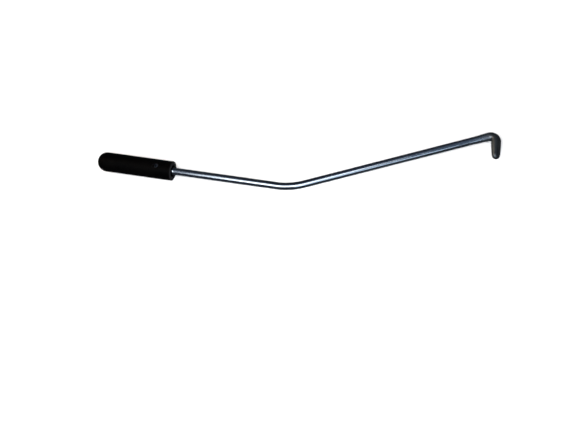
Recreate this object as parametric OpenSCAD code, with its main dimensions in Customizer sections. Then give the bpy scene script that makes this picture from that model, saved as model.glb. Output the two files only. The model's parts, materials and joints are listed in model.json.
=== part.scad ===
// Hive tool: a long bent steel bar with a short upset peg for a hook, in a domed moulded grip.
// Millimetres. The tool lies as it rests on a level surface, at z = 0, with its set screw on top.
// The grip's axis runs along +X and down to the bar at a shallow pitch; the hook is on the +Y side.
// Origin: under the middle of the whole tool's box. Each piece is first drawn in the tool's own
// plane, with the middle of the grip's mouth at the origin, then laid down by resting().

/* [Bar] */
// diameter of the round steel bar
bar_d = 8; // [6:0.5:10]
// straight length from the grip's mouth to the long bend
near_len = 121; // [90:0.5:160]
// straight length from the long bend to the hook's elbow
far_len = 205; // [150:0.5:280]
// turn of the bar at the long bend, in degrees
bend_angle = 24; // [16:1:32]
// centre-line radius of the long bend
bend_radius = 75; // [60:1:120]
// length of bar held inside the grip
held_len = 60; // [40:1:66]

/* [Hook] */
// angle left open between the bar and the peg, in degrees
hook_angle = 77; // [70:0.5:100]
// length of the peg from the elbow to the start of its rounded end
peg_len = 15.5; // [12:0.5:30]
// diameter of the thickened steel at the elbow
elbow_d = 10; // [9.8:0.1:12]
// diameter of the peg at its rounded end
tip_d = 9; // [8:0.1:9.6]
// length over which the bar thickens ahead of the elbow
flare_len = 15; // [8:0.5:30]

/* [Grip] */
// outside diameter of the grip
grip_d = 21.5; // [18:0.5:30]
// length of the grip from its domed end to its mouth
grip_len = 89.5; // [84:0.5:120]
// diameter of the hollow in the grip's mouth
mouth_d = 13.3; // [11:0.1:15]
// depth of that hollow
mouth_depth = 10; // [6:0.5:12]
// width of the bevel around the mouth's outer edge
bevel = 0.6; // [0.2:0.1:1.2]

/* [Set screw] */
// distance of the screw's axis behind the mouth
screw_back = 17.5; // [16.5:0.5:30]
// thread diameter of the set screw
screw_d = 5; // [4:0.5:5]
// length of the set screw
screw_len = 5; // [4:0.5:6]
// width across the flats of its hexagon socket
socket_af = 2.5; // [2:0.5:2.5]
// diameter of the access hole over the screw
access_d = 5.5; // [5.5:0.5:6.5]
// outside diameter of the brass thread insert, which is moulded in
insert_d = 7; // [6.5:0.5:8]
// length of the brass thread insert
insert_len = 3.4; // [2.5:0.1:4]
// depth of the flat filed on the bar under the screw
flat_depth = 0.4; // [0.2:0.1:0.8]

/* [Hidden] */
$fn = 96;
bar_r = bar_d / 2;
elbow_r = elbow_d / 2;
tip_r = tip_d / 2;
grip_r = grip_d / 2;
insert_r = insert_d / 2;
fit_gap = 0.05;            // radial clearance between pieces that slide together
end_gap = 1;               // space left in the bore behind the bar's end
bar_end_bevel = 0.8;
lap = 0.5;                 // neighbouring lengths of the bar run on into each other by this much,
lap_step = 0.05;           // and differ in radius by this much, so no two surfaces lie together
elbow_inner_r = 1.7;       // the hook is forged tight on its inside
elbow_path_r = elbow_r + elbow_inner_r;
screw_point_d = 3;
screw_point_len = 1;
socket_depth = 2.8;
screw_bottom = bar_r - flat_depth;
insert_bottom = bar_r + 0.6;
across_corners = 2 / sqrt(3);

// The centre line, in the tool's plane
elbow_turn = 180 - hook_angle;
peg_heading = bend_angle - elbow_turn;
function along(heading) = [cos(heading), sin(heading)];
bend_centre = [near_len, bend_radius];
bend_end = bend_centre + bend_radius * along(bend_angle - 90);
elbow_centre = bend_end + far_len * along(bend_angle) + elbow_path_r * along(bend_angle - 90);
tip_centre = elbow_centre + elbow_path_r * along(peg_heading + 90) + peg_len * along(peg_heading);

// The level surface touches the mouth's rim, the underside of the long bend and the peg's end.
// Its slopes across the tool's plane follow from the heights of those three points.
touch_turn = 0.7 * bend_angle;
touch_point = bend_centre + bend_radius * along(touch_turn - 90);
bend_drop = bar_r - grip_r;
tip_drop = tip_r - grip_r;
spread = touch_point.x * tip_centre.y - tip_centre.x * touch_point.y;
slope_x = (bend_drop * tip_centre.y - tip_drop * touch_point.y) / spread;
slope_y = (touch_point.x * tip_drop - tip_centre.x * bend_drop) / spread;
roll = atan2(slope_y, sqrt(1 - slope_x * slope_x - slope_y * slope_y));
pitch = asin(-slope_x);

// The box of the tool as it lies
x_low = -(grip_len - grip_r) * cos(pitch) - grip_r;
x_high = tip_centre.x * cos(pitch) + tip_centre.y * sin(roll) * sin(pitch) + tip_r;
y_low = -grip_r;
y_high = (elbow_centre.y + elbow_path_r) * cos(roll) + elbow_r;

// Lays a piece drawn in the tool's plane down on the level surface.
module resting() {
    translate([-(x_low + x_high) / 2, -(y_low + y_high) / 2, grip_r])
        rotate([roll, pitch, 0])
            children();
}

// A rod or cone along +X from the origin.
module rod_along(length, r_start, r_end) {
    rotate([0, 90, 0])
        cylinder(h = length, r1 = r_start, r2 = r_end);
}

// A bend in round bar: it leaves the origin along +X and curves to +Y.
// Whatever follows it is drawn on from the bend's end.
module bent(path_r, r, turn) {
    translate([0, path_r, 0])
        rotate([0, 0, -90])
            rotate_extrude(angle = turn)
                translate([path_r, 0])
                    circle(r = r);
    translate([0, path_r, 0])
        rotate([0, 0, turn])
            translate([0, -path_r, 0])
                children();
}

// The tapering peg with its rounded end. It starts a little thinner than the elbow.
module peg() {
    translate([-lap, 0, 0])
        rod_along(lap + peg_len, elbow_r - lap_step, tip_r);
    translate([peg_len, 0, 0])
        sphere(r = tip_r - lap_step);
}

// The far straight, which thickens ahead of the forged elbow, and the hook after it.
module far_end() {
    translate([-lap, 0, 0])
        rod_along(far_len - flare_len + 2 * lap, bar_r, bar_r);
    translate([far_len - flare_len, 0, 0])
        rod_along(flare_len + lap, bar_r + lap_step, elbow_r - lap_step);
    translate([far_len, 0, 0])
        mirror([0, 1, 0])
            bent(elbow_path_r, elbow_r, elbow_turn)
                peg();
}

module bent_bar() {
    color("silver")
        difference() {
            union() {
                translate([-held_len, 0, 0])
                    rod_along(bar_end_bevel, bar_r - bar_end_bevel, bar_r);
                translate([bar_end_bevel - held_len, 0, 0])
                    rod_along(held_len - bar_end_bevel + near_len + lap, bar_r, bar_r);
                translate([near_len, 0, 0])
                    bent(bend_radius, bar_r - lap_step, bend_angle)
                        far_end();
            }
            translate([-screw_back, 0, bar_r + screw_bottom])
                cube([screw_d + 2, bar_d, bar_d], center = true);
        }
}

module grip() {
    color("dimgray")
        difference() {
            union() {
                translate([grip_r - grip_len, 0, 0])
                    sphere(r = grip_r);
                translate([grip_r - grip_len, 0, 0])
                    rod_along(grip_len - grip_r - bevel, grip_r, grip_r);
                translate([-bevel, 0, 0])
                    rod_along(bevel, grip_r, grip_r - bevel);
            }
            translate([-held_len - end_gap, 0, 0])
                rod_along(held_len + end_gap + 1, bar_r + fit_gap, bar_r + fit_gap);
            translate([-mouth_depth, 0, 0])
                rod_along(mouth_depth + 1, mouth_d / 2, mouth_d / 2);
            translate([-screw_back, 0, 0]) {
                cylinder(h = grip_d, d = access_d);
                cylinder(h = insert_bottom + insert_len, r = insert_r);
            }
        }
}

module thread_insert() {
    color("goldenrod")
        translate([-screw_back, 0, insert_bottom])
            difference() {
                cylinder(h = insert_len, r = insert_r);
                translate([0, 0, -1])
                    cylinder(h = insert_len + 2, r = screw_d / 2 + fit_gap);
            }
}

module set_screw() {
    color("lightsteelblue")
        translate([-screw_back, 0, screw_bottom])
            difference() {
                union() {
                    cylinder(h = screw_point_len, d1 = screw_point_d, d2 = screw_d);
                    translate([0, 0, screw_point_len])
                        cylinder(h = screw_len - screw_point_len, d = screw_d);
                }
                translate([0, 0, screw_len - socket_depth])
                    cylinder(h = socket_depth + 1, d = socket_af * across_corners, $fn = 6);
            }
}

resting() bent_bar();
resting() grip();
resting() thread_insert();
resting() set_screw();
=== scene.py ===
"""The looks of the hive tool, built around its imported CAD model: a bent steel bar in a moulded grip.

Lengths are in metres. Most shapes are drawn in the tool's own plane, with the middle of the grip's
mouth at the origin, +X along the grip towards the bar, and +Z out of the plane on the screw's side.
"""

import json
import math

import bmesh
import bpy
from mathutils import Matrix, Vector


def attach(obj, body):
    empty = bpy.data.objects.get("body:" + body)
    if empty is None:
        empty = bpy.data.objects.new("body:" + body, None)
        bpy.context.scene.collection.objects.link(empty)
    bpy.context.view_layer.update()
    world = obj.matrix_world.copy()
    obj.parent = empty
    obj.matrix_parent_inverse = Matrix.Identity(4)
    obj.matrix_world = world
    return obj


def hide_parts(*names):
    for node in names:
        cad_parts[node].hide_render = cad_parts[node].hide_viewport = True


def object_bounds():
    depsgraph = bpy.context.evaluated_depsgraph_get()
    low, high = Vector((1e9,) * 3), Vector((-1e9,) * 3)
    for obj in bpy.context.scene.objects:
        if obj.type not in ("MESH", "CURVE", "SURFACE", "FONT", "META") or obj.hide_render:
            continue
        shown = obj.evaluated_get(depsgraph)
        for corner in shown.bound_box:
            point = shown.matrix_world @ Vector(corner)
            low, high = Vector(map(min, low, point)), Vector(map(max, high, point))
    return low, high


MM = 0.001

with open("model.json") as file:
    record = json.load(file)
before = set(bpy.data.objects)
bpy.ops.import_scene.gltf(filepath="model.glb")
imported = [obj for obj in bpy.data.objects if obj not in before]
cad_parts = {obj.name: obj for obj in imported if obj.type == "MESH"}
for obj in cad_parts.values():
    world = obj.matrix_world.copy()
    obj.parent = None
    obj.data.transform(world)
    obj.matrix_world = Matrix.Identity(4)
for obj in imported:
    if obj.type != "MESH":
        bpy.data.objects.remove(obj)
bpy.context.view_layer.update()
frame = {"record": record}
mounts = {m["name"]: m for m in frame["record"]["mounts"]}

# ---------------------------------------------------------------- the tool's own plane

BEVEL = 0.6 * MM
along_grip = -Vector(mounts["grip"]["axis"]).normalized()
out_of_plane = Vector(mounts["hook_peg"]["axis"]).cross(along_grip).normalized()
across_plane = out_of_plane.cross(along_grip)
grip_r = mounts["grip"]["dims"]["r_mm"] * MM
grip_wall = mounts["grip"]["dims"]["length_mm"] * MM
mouth = Vector(mounts["grip"]["pos_m"]) + along_grip * (grip_wall / 2 + BEVEL)
tool = Matrix((along_grip, across_plane, out_of_plane)).transposed().to_4x4()
tool.translation = mouth

# ---------------------------------------------------------------- sizes

# The bar, from its hidden end inside the grip to its two straights
BAR_R = 4 * MM
BAR_END_BEVEL = 0.8 * MM
HELD = 60 * MM
NEAR = 121 * MM
BEND_TURN = math.radians(24)
BEND_R = 75 * MM
FAR = 205 * MM

# A low raised ring on the bar where it leaves the grip
BEAD_HALF = 1.5 * MM
BEAD_HEIGHT = 0.25 * MM

# The hook: the bar is upset over a length before the elbow, and tapers along the peg after it
FLARE = 20 * MM
UPSET_R = 4.6 * MM
ELBOW_R = 5.35 * MM
ELBOW_PATH_R = 6.7 * MM
ELBOW_TURN = math.radians(103)
PEG = 15.5 * MM
TIP_R = 4.5 * MM

# The hollow in the grip's mouth, and the close bore behind it
MOUTH_R = 6.65 * MM
MOUTH_DEPTH = 10 * MM
BORE_R = 4.05 * MM
BORE_END_GAP = 1 * MM

# The set screw and its insert; their tops are heights above the grip's axis
SCREW_BACK = 17.5 * MM
SCREW_R = 2.5 * MM
SCREW_TOP = 8.6 * MM
SCREW_LEN = 5 * MM
SCREW_POINT_R = 1.5 * MM
SCREW_POINT_LEN = 1 * MM
SCREW_TURN = math.radians(20)
SOCKET_AF = 2.5 * MM
SOCKET_DEPTH = 2.8 * MM
ACCESS_R = 2.75 * MM
INSERT_R = 3.5 * MM
INSERT_BORE = 2.55 * MM
INSERT_TOP = 8 * MM
INSERT_LEN = 3.4 * MM

X, Y, Z = Matrix.Identity(3)
ORIGIN = Vector()
SCREW_AXIS = -X * SCREW_BACK


# ---------------------------------------------------------------- mesh helpers

def loft(name, rings, first_cap=True, last_cap=True):
    """A skin over rings of equal point counts, closed at either end by a fan or an open rim."""
    mesh = bpy.data.meshes.new(name)
    body = bmesh.new()
    rows = [[body.verts.new(p) for p in ring] for ring in rings]
    count = len(rings[0])
    for a, b in zip(rows, rows[1:]):
        for i in range(count):
            j = (i + 1) % count
            body.faces.new((a[i], a[j], b[j], b[i]))
    for row, wanted, flip in ((rows[0], first_cap, True), (rows[-1], last_cap, False)):
        if wanted:
            middle = sum((v.co for v in row), Vector()) / count
            hub = body.verts.new(middle)
            for i in range(count):
                pair = (row[i], row[(i + 1) % count])
                body.faces.new((*(reversed(pair) if flip else pair), hub))
    bmesh.ops.recalc_face_normals(body, faces=body.faces)
    body.to_mesh(mesh)
    body.free()
    mesh.shade_smooth()
    piece = bpy.data.objects.new(name, mesh)
    bpy.context.scene.collection.objects.link(piece)
    return piece


def circle(centre, side, up, radius, count):
    """Points round a circle that side and up span."""
    turns = [2 * math.pi * i / count for i in range(count)]
    return [centre + (side * math.cos(t) + up * math.sin(t)) * radius for t in turns]


def turned(name, outline, count, centre, axis, side, caps=(False, False)):
    """A turned shape: outline is (distance along the axis, radius) from one end to the other."""
    up = axis.cross(side)
    rings = [circle(centre + axis * d, side, up, r, count) for d, r in outline]
    return loft(name, rings, *caps)


def arc(centre, radius, start, end, steps):
    """Outline points round an arc, angles in degrees."""
    turns = [math.radians(start + (end - start) * i / steps) for i in range(steps + 1)]
    return [(centre[0] + radius * math.cos(t), centre[1] + radius * math.sin(t)) for t in turns]


def sharpen(piece, degrees):
    """Marks edges that turn more than this as sharp, so the faces beside them shade flat to them."""
    piece.data.set_sharp_from_angle(angle=math.radians(degrees))


def remember(piece, places):
    """Keeps a place for each vertex, for its material to use."""
    kept = piece.data.attributes.new("as_drawn", "FLOAT_VECTOR", "POINT")
    kept.data.foreach_set("vector", [x for p in places for x in p])


def settle(piece, replaced):
    """Puts a piece drawn in the tool's plane in its place, on the body, for its CAD node."""
    piece.data.transform(tool)
    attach(piece, "root")
    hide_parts(replaced)


# ---------------------------------------------------------------- the bar

def smooth(t):
    """Runs from 0 to 1 with a level start and end."""
    t = min(max(t, 0.0), 1.0)
    return t * t * (3 - 2 * t)


def facing(heading):
    """The direction in the tool's plane at an angle from +X."""
    return Vector((math.cos(heading), math.sin(heading), 0))


def bar_stations():
    """The bar's sections, from its hidden end to the tip.

    Each is (centre, heading, radius, reach, distance from the mouth). The reach is how far a
    section goes towards the hook's inside, where the forging pinches it.
    """
    stations = []
    place = -X * HELD
    heading = 0.0
    travelled = -HELD

    def put(radius, reach=None):
        stations.append((place.copy(), heading, radius, reach or radius, travelled))

    def straight(length, steps, radius_at):
        nonlocal place, travelled
        for i in range(1, steps + 1):
            place = place + facing(heading) * (length / steps)
            travelled += length / steps
            put(radius_at(i / steps))

    def turn(path_r, angle, steps, radius_at, pinched=False):
        nonlocal place, heading, travelled
        step = angle / steps
        for i in range(1, steps + 1):
            chord = 2 * path_r * math.sin(abs(step) / 2)
            place = place + facing(heading + step / 2) * chord
            heading += step
            travelled += path_r * abs(step)
            radius = radius_at(i / steps)
            into = abs(step) * min(i, steps - i)
            put(radius, path_r - (path_r - radius) / math.cos(into) if pinched else radius)

    def rounded_end(length, radius, steps):
        end = place
        for i in range(1, steps):
            t = math.pi / 2 * i / steps
            ahead = length * math.sin(t)
            narrowed = radius * math.cos(t)
            stations.append((end + facing(heading) * ahead, heading, narrowed, narrowed, travelled + ahead))
        point_r = 0.05 * MM
        stations.append((end + facing(heading) * length, heading, point_r, point_r, travelled + length))

    def even(t):
        return BAR_R

    def beaded(t):
        off = (t * near_part - HELD + BAR_END_BEVEL) / BEAD_HALF
        return BAR_R + BEAD_HEIGHT * math.cos(off * math.pi / 2) if abs(off) < 1 else BAR_R

    def upset(t):
        return BAR_R + (UPSET_R - BAR_R) * t ** 1.6

    def elbow(t):
        start_slope = 0.77      # carries on the slope of the upset part before it
        return UPSET_R + (ELBOW_R - UPSET_R) * (start_slope * t * (1 - t) ** 2 + smooth(t))

    def taper(t):
        return ELBOW_R - (ELBOW_R - TIP_R) * t ** 1.5

    near_part = HELD + NEAR - BAR_END_BEVEL
    tip_len = 1.2 * TIP_R
    put(BAR_R - BAR_END_BEVEL)
    straight(BAR_END_BEVEL, 1, even)
    straight(near_part, 600, beaded)
    turn(BEND_R, BEND_TURN, 24, even)
    straight(FAR - FLARE, 60, even)
    straight(FLARE, 18, upset)
    turn(ELBOW_PATH_R, -ELBOW_TURN, 32, elbow, pinched=True)
    straight(PEG + TIP_R - tip_len, 14, taper)
    rounded_end(tip_len, TIP_R, 14)
    return stations


def make_bar():
    """The steel bar; its material is told where each point would be if the bar were straight."""
    sides = 64
    rings = []
    straightened = []
    for centre, heading, radius, reach, distance in bar_stations():
        inward = -facing(heading + math.pi / 2)
        ring = circle(ORIGIN, inward, Z, radius, sides)
        pinch = 1 - reach / radius
        rings.append([centre + p - inward * max(p.dot(inward), 0) * pinch for p in ring])
        straightened += circle(X * distance, Y, Z, radius, sides)
    straightened += [-X * HELD, X * distance]
    bar = loft("bar", rings)
    remember(bar, straightened)
    sharpen(bar, 50)
    return bar


# ---------------------------------------------------------------- the grip

def make_grip():
    """The moulded grip: a domed cylinder with a rounded lip, a hollow mouth and a bore."""
    lip = 0.9 * MM
    inner_lip = 0.5 * MM
    corner = 0.8 * MM
    bore_edge = 0.3 * MM
    pole_r = 0.02 * MM
    dome = -(grip_wall + BEVEL)
    body_steps = 90
    mouth_steps = 6
    outline = [(x, max(r, pole_r)) for x, r in arc((dome, 0), grip_r, 180, 90, 28)]
    outline += [(dome + (-lip - dome) * i / body_steps, grip_r) for i in range(1, body_steps)]
    outline += arc((-lip, grip_r - lip), lip, 90, 0, 6)
    outline += arc((-inner_lip, MOUTH_R + inner_lip), inner_lip, 0, -90, 5)
    outline += [(-MOUTH_DEPTH * i / mouth_steps, MOUTH_R) for i in range(1, mouth_steps)]
    outline += arc((-MOUTH_DEPTH + corner, MOUTH_R - corner), corner, 90, 180, 4)
    outline += [
        (-MOUTH_DEPTH, BORE_R + bore_edge),
        (-MOUTH_DEPTH - bore_edge, BORE_R),
        (-HELD - BORE_END_GAP, BORE_R),
    ]
    return turned("grip_shell", outline, 128, ORIGIN, X, Z, (True, True))


def drill(piece, cutter):
    """Takes the cutter's space out of the piece and keeps the result as its mesh."""
    cut = piece.modifiers.new("cut", "BOOLEAN")
    cut.operation = "DIFFERENCE"
    cut.solver = "EXACT"
    cut.object = cutter
    cutter.hide_render = True
    bpy.context.view_layer.update()
    graph = bpy.context.evaluated_depsgraph_get()
    made = bpy.data.meshes.new_from_object(piece.evaluated_get(graph))
    piece.modifiers.clear()
    piece.data = made
    bpy.data.objects.remove(cutter)


def screw_hole():
    """The cutter for the screw's access hole, with its softened rim and the insert's pocket."""
    cutter_bottom = 3 * MM      # inside the bore, so that the pocket opens into it
    outline = [
        (cutter_bottom, INSERT_R),
        (INSERT_TOP, INSERT_R),
        (INSERT_TOP, ACCESS_R),
        (grip_r - 0.7 * MM, ACCESS_R),
        (grip_r - 0.3 * MM, ACCESS_R + 0.1 * MM),
        (grip_r, ACCESS_R + 0.35 * MM),
        (grip_r + 2 * MM, ACCESS_R + 2.4 * MM),
    ]
    return turned("hole", outline, 64, SCREW_AXIS, Z, X, (True, True))


# ---------------------------------------------------------------- the insert and the screw

def make_insert():
    """The brass insert, a ring with softened edges."""
    edge = 0.25 * MM
    bottom = INSERT_TOP - INSERT_LEN
    outline = [
        (bottom, INSERT_BORE),
        (bottom, INSERT_R - edge),
        (bottom + edge, INSERT_R),
        (INSERT_TOP - edge, INSERT_R),
        (INSERT_TOP, INSERT_R - edge),
        (INSERT_TOP, INSERT_BORE + edge),
        (INSERT_TOP - edge, INSERT_BORE),
        (bottom, INSERT_BORE),
    ]
    return turned("insert_ring", outline, 64, SCREW_AXIS, Z, X)


def hexagon(height, across_flats, per_side):
    """Points round a hexagon, starting on +X."""
    corners = [facing(math.radians(60 * k)) * across_flats / math.sqrt(3) for k in range(7)]
    points = []
    for start, end in zip(corners, corners[1:]):
        points += [start.lerp(end, i / per_side) + Z * height for i in range(per_side)]
    return points


def make_screw():
    """The set screw, with its pointed end down and its hexagon socket open at the top."""
    per_side = 8
    edge = 0.35 * MM
    socket_edge = 0.15 * MM
    bottom = SCREW_TOP - SCREW_LEN
    outline = [
        (bottom, SCREW_POINT_R),
        (bottom + SCREW_POINT_LEN, SCREW_R),
        (SCREW_TOP - edge, SCREW_R),
        (SCREW_TOP, SCREW_R - edge),
    ]
    rings = [circle(Z * height, X, Y, r, 6 * per_side) for height, r in outline]
    rings.append(hexagon(SCREW_TOP, SOCKET_AF + 0.2 * MM, per_side))
    rings.append(hexagon(SCREW_TOP - socket_edge, SOCKET_AF, per_side))
    rings.append(hexagon(SCREW_TOP - SOCKET_DEPTH, SOCKET_AF, per_side))
    screw = loft("screw_body", rings)
    screw.data.transform(Matrix.Translation(SCREW_AXIS) @ Matrix.Rotation(SCREW_TURN, 4, "Z"))
    return screw


# ---------------------------------------------------------------- materials

def adder(tree):
    """A function that adds a node to the tree, feeding it other nodes' outputs or plain values."""
    def add(kind, inputs=None, **settings):
        node = tree.nodes.new(kind)
        for key, value in settings.items():
            setattr(node, key, value)
        for key, value in (inputs or {}).items():
            if isinstance(value, bpy.types.NodeSocket):
                tree.links.new(value, node.inputs[key])
            else:
                node.inputs[key].default_value = value
        return node

    return add


def material(name):
    """A new node material, with a way to add nodes and a way to feed one of its shader's sockets."""
    made = bpy.data.materials.new(name)
    made.use_nodes = True
    tree = made.node_tree
    sockets = tree.nodes["Principled BSDF"].inputs

    def feed(socket, value):
        if isinstance(value, bpy.types.NodeSocket):
            tree.links.new(value, sockets[socket])
        else:
            sockets[socket].default_value = value

    return made, adder(tree), feed


def ramp(add, value, *stops):
    """A colour ramp fed by value: stops are (position, colour or grey)."""
    node = add("ShaderNodeValToRGB", {"Fac": value})
    elements = node.color_ramp.elements
    while len(elements) < len(stops):
        elements.new(0.5)
    for element, (position, colour) in zip(elements, stops):
        element.position = position
        element.color = (colour,) * 3 + (1,) if isinstance(colour, float) else (*colour, 1)
    return node.outputs["Color"]


def noise(add, place, scale, detail):
    return add("ShaderNodeTexNoise", {"Vector": place, "Scale": scale, "Detail": detail}).outputs["Fac"]


def stretched(add, place, scale):
    """The place, multiplied by a scale for each axis."""
    return add("ShaderNodeMapping", {"Vector": place, "Scale": scale}).outputs[0]


def mix(add, factor, a, b, blend="MIX"):
    """A where the factor is 0, B where it is 1."""
    inputs = {"Factor": factor, "A": a, "B": b}
    return add("ShaderNodeMix", inputs, data_type="RGBA", blend_type=blend).outputs["Result"]


def multiply_add(add, value, factor, plus):
    return add("ShaderNodeMath", {0: value, 1: factor, 2: plus}, operation="MULTIPLY_ADD").outputs[0]


def bump(add, height, strength, distance):
    inputs = {"Height": height, "Strength": strength, "Distance": distance}
    return add("ShaderNodeBump", inputs).outputs["Normal"]


def steel_material():
    """Bright drawn bar: lengthwise lines, cloudy handling marks, and darker forge skin at the hook."""
    made, add, feed = material("drawn_steel")
    drawn = add("ShaderNodeAttribute", attribute_name="as_drawn").outputs["Vector"]
    distance = add("ShaderNodeSeparateXYZ", {"Vector": drawn}).outputs["X"]
    lines = noise(add, stretched(add, drawn, (6, 2600, 2600)), 1.0, 4.0)
    bands = noise(add, stretched(add, drawn, (9, 420, 420)), 1.0, 2.0)
    clouds = noise(add, stretched(add, drawn, (45, 160, 160)), 1.0, 5.0)
    pits = noise(add, drawn, 1400.0, 3.0)

    # How far the bright bar has given way to forge skin, along an uneven front
    elbow_start = NEAR + BEND_R * BEND_TURN + FAR
    forged = add("ShaderNodeMapRange", {
        "Value": multiply_add(add, clouds, 12 * MM, distance),
        "From Min": elbow_start - 14 * MM,
        "From Max": elbow_start + 16 * MM,
    }, interpolation_type="SMOOTHSTEP").outputs[0]

    bright = ramp(add, lines, (0.3, (0.38, 0.43, 0.49)), (0.7, (0.54, 0.60, 0.67)))
    handled = mix(add, 1.0, bright, ramp(add, bands, (0.38, 0.72), (0.58, 1.0)), "MULTIPLY")
    skin = ramp(add, clouds, (0.35, (0.08, 0.09, 0.10)), (0.65, (0.15, 0.16, 0.17)))
    feed("Base Color", mix(add, forged, handled, skin))

    gloss = ramp(add, clouds, (0.3, 0.14), (0.7, 0.23))
    dull = ramp(add, pits, (0.3, 0.35), (0.7, 0.47))
    feed("Roughness", mix(add, forged, gloss, dull))
    feed("Metallic", multiply_add(add, forged, -0.05, 1.0))
    feed("Normal", bump(add, lines, 0.10, 0.02 * MM))
    return made


def plastic_material():
    """Near-black moulded plastic: a fine texture, mottled gloss, rub marks, and a mouth end face painted
    paler: a painted sheen for the light that face catches.
    """
    made, add, feed = material("moulded_black")
    place = add("ShaderNodeTexCoord").outputs["Object"]
    mottle = noise(add, place, 90.0, 5.0)
    base = ramp(add, mottle, (0.3, (0.0003, 0.0003, 0.0004)), (0.7, (0.0007, 0.0006, 0.0006)))

    rubbed = ramp(add, noise(add, place, 420.0, 6.0), (0.66, 0.0), (0.78, 1.0))
    edges = add("ShaderNodeNewGeometry").outputs["Pointiness"]
    worn = ramp(add, edges, (0.52, 0.0), (0.60, 1.0))
    marked = mix(add, mix(add, 0.25, worn, rubbed), base, (0.010, 0.010, 0.011, 1))

    # The mouth's end face gets a paler colour: painted sheen standing in for the light that face catches,
    # not a paler finish.
    drawn = add("ShaderNodeAttribute", attribute_name="as_drawn").outputs["Vector"]
    end_face_painted_sheen = add("ShaderNodeMapRange", {
        "Value": add("ShaderNodeSeparateXYZ", {"Vector": drawn}).outputs["X"],
        "From Min": -0.5 * MM,
        "From Max": -0.2 * MM,
    }).outputs[0]
    feed("Base Color", mix(add, end_face_painted_sheen, marked, (0.012, 0.012, 0.013, 1)))
    feed("Roughness", ramp(add, mottle, (0.3, 0.46), (0.7, 0.58)))
    feed("Normal", bump(add, noise(add, place, 2600.0, 2.0), 0.25, 0.03 * MM))
    feed("Specular IOR Level", 0.03)
    return made


def small_metal_material(name, low, high, rough_low, rough_high):
    """Turned metal for the small parts: fine marks and a little tarnish."""
    made, add, feed = material(name)
    place = add("ShaderNodeTexCoord").outputs["Object"]
    marks = noise(add, place, 1800.0, 4.0)
    tarnish = noise(add, place, 500.0, 5.0)
    feed("Base Color", ramp(add, tarnish, (0.35, low), (0.65, high)))
    feed("Roughness", ramp(add, marks, (0.3, rough_low), (0.7, rough_high)))
    feed("Normal", bump(add, marks, 0.2, 0.03 * MM))
    feed("Metallic", 1.0)
    return made


def brass_material():
    return small_metal_material("turned_brass", (0.24, 0.20, 0.13), (0.36, 0.30, 0.20), 0.36, 0.5)


def zinc_material():
    return small_metal_material("zinc_steel", (0.06, 0.07, 0.085), (0.14, 0.16, 0.19), 0.30, 0.45)


def floor_material():
    """Matt and nearly white, with a trace of unevenness."""
    made, add, feed = material("pale_floor")
    place = add("ShaderNodeTexCoord").outputs["Object"]
    feed("Base Color", ramp(add, noise(add, place, 2.0, 2.0), (0.3, 0.88), (0.7, 0.90)))
    feed("Roughness", 0.9)
    feed("Specular IOR Level", 0.1)
    return made


# ---------------------------------------------------------------- the pieces

bar = make_bar()
bar.data.materials.append(steel_material())
settle(bar, "bent_bar")

grip = make_grip()
drill(grip, screw_hole())
sharpen(grip, 40)
remember(grip, [v.co for v in grip.data.vertices])
grip.data.materials.append(plastic_material())
settle(grip, "grip")

insert = make_insert()
sharpen(insert, 30)
insert.data.materials.append(brass_material())
settle(insert, "thread_insert")

screw = make_screw()
sharpen(screw, 25)
screw.data.materials.append(zinc_material())
settle(screw, "set_screw")

# ---------------------------------------------------------------- floor, lights and camera

lowest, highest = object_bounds()
middle = (lowest + highest) / 2


def toward(azimuth, elevation):
    """The direction at an angle round from straight in front, and above level, in degrees."""
    a, e = math.radians(azimuth), math.radians(elevation)
    return Vector((math.sin(a) * math.cos(e), -math.cos(a) * math.cos(e), math.sin(e)))


def make_floor():
    """A wide level floor under the tool. The steel doesn't mirror it."""
    half = 6.0
    corners = [(-half, -half, 0), (half, -half, 0), (half, half, 0), (-half, half, 0)]
    mesh = bpy.data.meshes.new("floor")
    mesh.from_pydata(corners, [], [(0, 1, 2, 3)])
    floor = bpy.data.objects.new("floor", mesh)
    bpy.context.scene.collection.objects.link(floor)
    floor.location.z = lowest.z
    floor.data.materials.append(floor_material())
    floor.visible_glossy = False


def softbox(name, aim, offset, width, height, power, colour=(1, 1, 1)):
    """A rectangular light, at an offset from the point it faces."""
    light = bpy.data.lights.new(name, "AREA")
    light.shape = "RECTANGLE"
    light.size = width
    light.size_y = height
    light.energy = power
    light.color = colour
    lamp = bpy.data.objects.new(name, light)
    lamp.location = aim + offset
    lamp.rotation_euler = (aim - lamp.location).to_track_quat("-Z", "Y").to_euler()
    bpy.context.scene.collection.objects.link(lamp)
    return lamp


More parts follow.
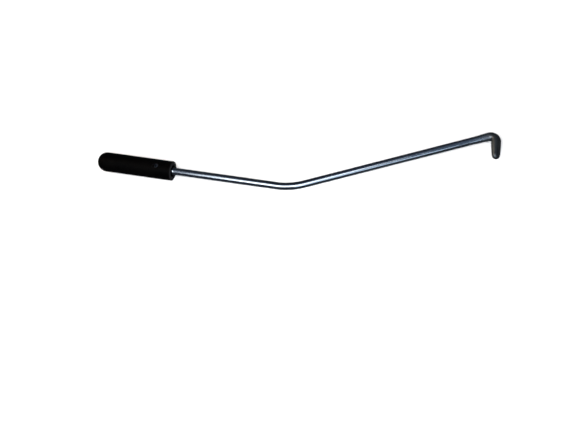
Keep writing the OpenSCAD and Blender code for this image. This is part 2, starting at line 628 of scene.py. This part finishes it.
def make_camera():
    """A long lens from the front right, well above, and rolled a little."""
    back = toward(34.73, 53.54)
    roll = math.radians(-22.46)
    aim = Vector((15.1, -82.2, 10.0)) * MM
    distance = 2141 * MM
    data = bpy.data.cameras.new("camera")
    data.lens = 124.8
    data.sensor_width = 36
    camera = bpy.data.objects.new("camera", data)
    turned_round = (-back).to_track_quat("-Z", "Y").to_matrix().to_4x4()
    rolled = turned_round @ Matrix.Rotation(roll, 4, "Z")
    camera.matrix_world = Matrix.Translation(aim + back * distance) @ rolled
    bpy.context.scene.collection.objects.link(camera)
    bpy.context.scene.camera = camera


def make_surroundings():
    """A dim studio: dark round the sides and behind, with a bluish glow high up in front."""
    world = bpy.data.worlds.new("studio")
    world.use_nodes = True
    tree = world.node_tree
    add = adder(tree)
    glow_at = Vector((0, -0.5, 0.87)).normalized()
    inputs = {0: add("ShaderNodeTexCoord").outputs["Generated"], 1: glow_at}
    nearness = add("ShaderNodeVectorMath", inputs, operation="DOT_PRODUCT").outputs["Value"]
    span = {"Value": nearness, "From Min": -1.0, "From Max": 1.0}
    glow = ramp(
        add, add("ShaderNodeMapRange", span).outputs[0],
        (0.30, (0.070, 0.080, 0.095)),
        (0.50, (0.050, 0.055, 0.065)),
        (0.60, (0.020, 0.025, 0.032)),
        (0.80, (0.025, 0.030, 0.040)),
        (0.92, (0.075, 0.100, 0.145)),
        (1.00, (0.130, 0.175, 0.250)),
    )
    tree.links.new(glow, tree.nodes["Background"].inputs["Color"])
    bpy.context.scene.world = world


def make_lights():
    """A key by the bend, a cool fill and a warm glow for the far end, and an even wash for the floor."""
    bend = tool @ (X * NEAR)
    far_end = tool @ (X * (NEAR + FAR))
    softbox("key", bend, toward(-7, 50) * 0.50, 0.41, 0.36, 1.75)
    softbox("fill", far_end, toward(7, 22) * 1.0, 0.44, 0.42, 1.2, (0.74, 0.87, 1.0))
    softbox("warm glow", far_end, toward(-84, 34) * 1.2, 0.5, 0.6, 2.4, (1.0, 0.78, 0.53))
    wash = softbox("wash", middle, toward(34.7, 53.5) * 2.6, 2.4, 2.4, 125)
    wash.visible_glossy = False


make_floor()
make_camera()
make_surroundings()
make_lights()
bpy.context.scene.view_settings.view_transform = "Standard"
